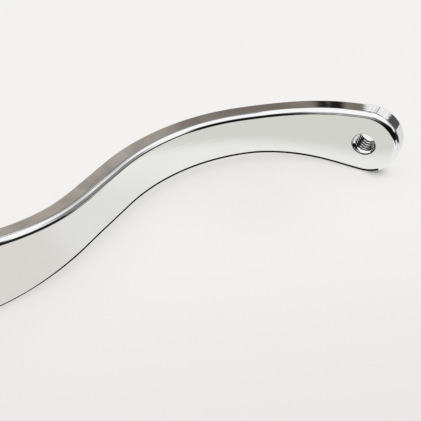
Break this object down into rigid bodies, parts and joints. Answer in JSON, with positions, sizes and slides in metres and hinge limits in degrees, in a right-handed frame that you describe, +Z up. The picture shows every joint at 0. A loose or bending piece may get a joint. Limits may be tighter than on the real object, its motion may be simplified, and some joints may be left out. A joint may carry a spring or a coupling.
{
  "type": "brake lever guard",
  "caption": "Flat rounded-edge bar in a bright metal finish, bent into an S, with a threaded hole in its round mount end.",
  "frame": {"origin": "centre of the threaded hole, halfway through the bar", "axes": "-Y points out of the hole on the handlebar's side, -X leaves the hole along the bar, +Z is up across the bar's height as it stands on its lower edge"},
  "size_m": [0.149, 0.1382, 0.0255],
  "materials": {
    "bright_metal": "mirror-bright chrome over a polished bar"
  },
  "bodies": {
    "root": {"lever_guard": "bright_metal"}
  },
  "joints": []
}
